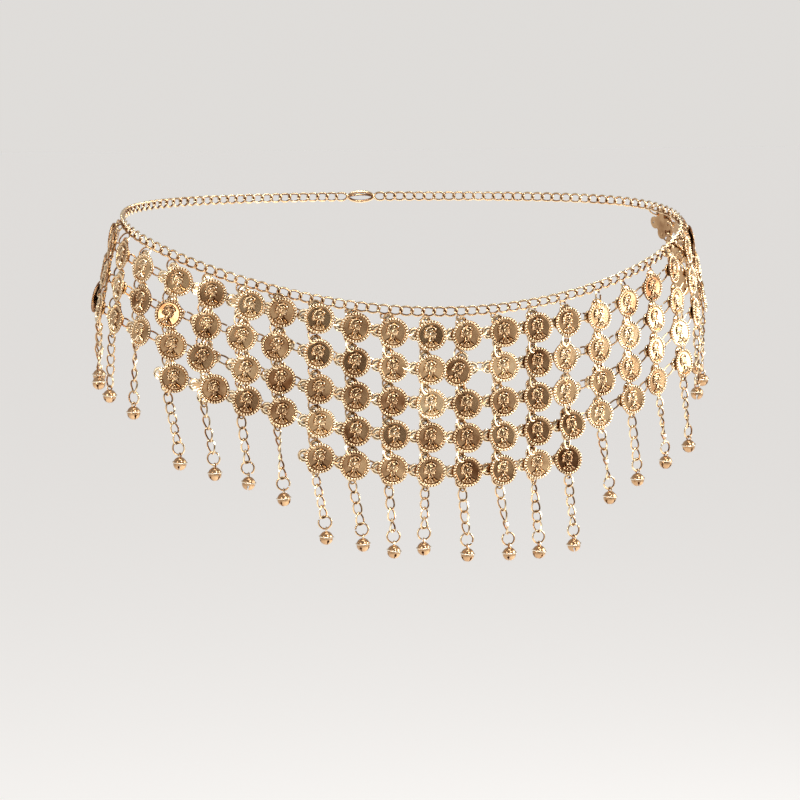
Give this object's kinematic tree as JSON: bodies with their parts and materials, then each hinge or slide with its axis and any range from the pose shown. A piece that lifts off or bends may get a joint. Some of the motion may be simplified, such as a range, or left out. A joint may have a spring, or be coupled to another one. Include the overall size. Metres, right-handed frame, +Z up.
{
  "type": "bell waist chain",
  "caption": "Hip belt for dance costume: a curb chain round the hips carries a stepped net of linked stamped coins, fringed with short drop chains that end in round bells.",
  "frame": {"origin": "centre of the loop where the hips pass, level with the chain at the sides and back", "axes": "+Z up, the front of the belt towards -Y, +X towards the viewer's right from the front"},
  "size_m": [0.3722, 0.2229, 0.1995],
  "materials": {
    "coin_gold": "stamped thin sheet, bright gold-tone plating with a soft polish",
    "chain_gold": "polished gold-tone wire",
    "bell_gold": "polished gold-tone shell"
  },
  "bodies": {
    "belt": {"chain_01": "chain_gold", "chain_02": "chain_gold", "chain_03": "chain_gold", "chain_04": "chain_gold", "chain_05": "chain_gold", "chain_06": "chain_gold", "chain_07": "chain_gold", "chain_08": "chain_gold", "chain_09": "chain_gold", "chain_10": "chain_gold", "coin_column_01": "coin_gold", "coin_column_02": "coin_gold", "coin_column_03": "coin_gold", "coin_column_04": "coin_gold", "coin_column_05": "coin_gold", "coin_column_06": "coin_gold", "coin_column_07": "coin_gold", "coin_column_08": "coin_gold", "coin_column_09": "coin_gold", "coin_column_10": "coin_gold", "coin_column_11": "coin_gold", "coin_column_12": "coin_gold", "coin_column_13": "coin_gold", "coin_column_14": "coin_gold", "coin_column_15": "coin_gold", "coin_column_16": "coin_gold", "coin_column_17": "coin_gold", "coin_column_18": "coin_gold", "coin_column_19": "coin_gold", "coin_column_20": "coin_gold", "coin_column_21": "coin_gold", "coin_column_22": "coin_gold", "coin_column_23": "coin_gold", "coin_column_24": "coin_gold", "clasp": "chain_gold"},
    "bell_01": {"bell_01": "bell_gold"},
    "bell_02": {"bell_02": "bell_gold"},
    "bell_03": {"bell_03": "bell_gold"},
    "bell_04": {"bell_04": "bell_gold"},
    "bell_05": {"bell_05": "bell_gold"},
    "bell_06": {"bell_06": "bell_gold"},
    "bell_07": {"bell_07": "bell_gold"},
    "bell_08": {"bell_08": "bell_gold"},
    "bell_09": {"bell_09": "bell_gold"},
    "bell_10": {"bell_10": "bell_gold"},
    "bell_11": {"bell_11": "bell_gold"},
    "bell_12": {"bell_12": "bell_gold"},
    "bell_13": {"bell_13": "bell_gold"},
    "bell_14": {"bell_14": "bell_gold"},
    "bell_15": {"bell_15": "bell_gold"},
    "bell_16": {"bell_16": "bell_gold"},
    "bell_17": {"bell_17": "bell_gold"},
    "bell_18": {"bell_18": "bell_gold"},
    "bell_19": {"bell_19": "bell_gold"},
    "bell_20": {"bell_20": "bell_gold"},
    "bell_21": {"bell_21": "bell_gold"},
    "bell_22": {"bell_22": "bell_gold"},
    "bell_23": {"bell_23": "bell_gold"},
    "bell_24": {"bell_24": "bell_gold"}
  },
  "joints": [
    {"name": "bell_01_swing", "type": "hinge", "parent": "belt", "child": "bell_01", "pos_m": [-0.17943, 0.02174, -0.09223], "axis": [-0.2326, -0.9726, 0], "range_deg": [-80, 80]},
    {"name": "bell_02_swing", "type": "hinge", "parent": "belt", "child": "bell_02", "pos_m": [-0.18246, 0.00187, -0.0944], "axis": [0.0361, -0.9993, 0], "range_deg": [-80, 80]},
    {"name": "bell_03_swing", "type": "hinge", "parent": "belt", "child": "bell_03", "pos_m": [-0.17923, -0.01849, -0.09963], "axis": [0.3792, -0.9253, 0], "range_deg": [-80, 80]},
    {"name": "bell_04_swing", "type": "hinge", "parent": "belt", "child": "bell_04", "pos_m": [-0.16851, -0.03807, -0.10718], "axis": [0.6143, -0.7891, 0], "range_deg": [-80, 80]},
    {"name": "bell_05_swing", "type": "hinge", "parent": "belt", "child": "bell_05", "pos_m": [-0.14656, -0.06219, -0.1334], "axis": [0.7884, -0.6152, 0], "range_deg": [-80, 80]},
    {"name": "bell_06_swing", "type": "hinge", "parent": "belt", "child": "bell_06", "pos_m": [-0.12869, -0.07252, -0.13837], "axis": [0.8696, -0.4938, 0], "range_deg": [-80, 80]},
    {"name": "bell_07_swing", "type": "hinge", "parent": "belt", "child": "bell_07", "pos_m": [-0.11116, -0.08037, -0.14316], "axis": [0.9198, -0.3924, 0], "range_deg": [-80, 80]},
    {"name": "bell_08_swing", "type": "hinge", "parent": "belt", "child": "bell_08", "pos_m": [-0.09255, -0.08694, -0.15177], "axis": [0.9511, -0.3089, 0], "range_deg": [-80, 80]},
    {"name": "bell_09_swing", "type": "hinge", "parent": "belt", "child": "bell_09", "pos_m": [-0.06996, -0.09325, -0.17338], "axis": [0.9751, -0.222, 0], "range_deg": [-80, 80]},
    {"name": "bell_10_swing", "type": "hinge", "parent": "belt", "child": "bell_10", "pos_m": [-0.04976, -0.0967, -0.17757], "axis": [0.9873, -0.1587, 0], "range_deg": [-80, 80]},
    {"name": "bell_11_swing", "type": "hinge", "parent": "belt", "child": "bell_11", "pos_m": [-0.03253, -0.09859, -0.18188], "axis": [0.9951, -0.0988, 0], "range_deg": [-80, 80]},
    {"name": "bell_12_swing", "type": "hinge", "parent": "belt", "child": "bell_12", "pos_m": [-0.01564, -0.09967, -0.18076], "axis": [0.9992, -0.0408, 0], "range_deg": [-80, 80]},
    {"name": "bell_13_swing", "type": "hinge", "parent": "belt", "child": "bell_13", "pos_m": [0.00963, -0.09989, -0.18527], "axis": [0.9999, 0.016, 0], "range_deg": [-80, 80]},
    {"name": "bell_14_swing", "type": "hinge", "parent": "belt", "child": "bell_14", "pos_m": [0.03447, -0.09847, -0.18604], "axis": [0.9972, 0.0743, 0], "range_deg": [-80, 80]},
    {"name": "bell_15_swing", "type": "hinge", "parent": "belt", "child": "bell_15", "pos_m": [0.05267, -0.09625, -0.18614], "axis": [0.991, 0.1339, 0], "range_deg": [-80, 80]},
    {"name": "bell_16_swing", "type": "hinge", "parent": "belt", "child": "bell_16", "pos_m": [0.07454, -0.09233, -0.18386], "axis": [0.9801, 0.1984, 0], "range_deg": [-80, 80]},
    {"name": "bell_17_swing", "type": "hinge", "parent": "belt", "child": "bell_17", "pos_m": [0.09821, -0.08544, -0.1585], "axis": [0.9589, 0.2837, 0], "range_deg": [-80, 80]},
    {"name": "bell_18_swing", "type": "hinge", "parent": "belt", "child": "bell_18", "pos_m": [0.1173, -0.07818, -0.14989], "axis": [0.9287, 0.3707, 0], "range_deg": [-80, 80]},
    {"name": "bell_19_swing", "type": "hinge", "parent": "belt", "child": "bell_19", "pos_m": [0.13816, -0.0675, -0.14209], "axis": [0.8808, 0.4735, 0], "range_deg": [-80, 80]},
    {"name": "bell_20_swing", "type": "hinge", "parent": "belt", "child": "bell_20", "pos_m": [0.15718, -0.05397, -0.13505], "axis": [0.8, 0.5999, 0], "range_deg": [-80, 80]},
    {"name": "bell_21_swing", "type": "hinge", "parent": "belt", "child": "bell_21", "pos_m": [0.16802, -0.03757, -0.10609], "axis": [0.6173, 0.7868, 0], "range_deg": [-80, 80]},
    {"name": "bell_22_swing", "type": "hinge", "parent": "belt", "child": "bell_22", "pos_m": [0.17728, -0.02116, -0.10014], "axis": [0.3691, 0.9294, 0], "range_deg": [-80, 80]},
    {"name": "bell_23_swing", "type": "hinge", "parent": "belt", "child": "bell_23", "pos_m": [0.18169, -0.0001, -0.09562], "axis": [0.0179, 0.9998, 0], "range_deg": [-80, 80]},
    {"name": "bell_24_swing", "type": "hinge", "parent": "belt", "child": "bell_24", "pos_m": [0.17912, 0.02069, -0.09198], "axis": [-0.2424, 0.9702, 0], "range_deg": [-80, 80]}
  ]
}
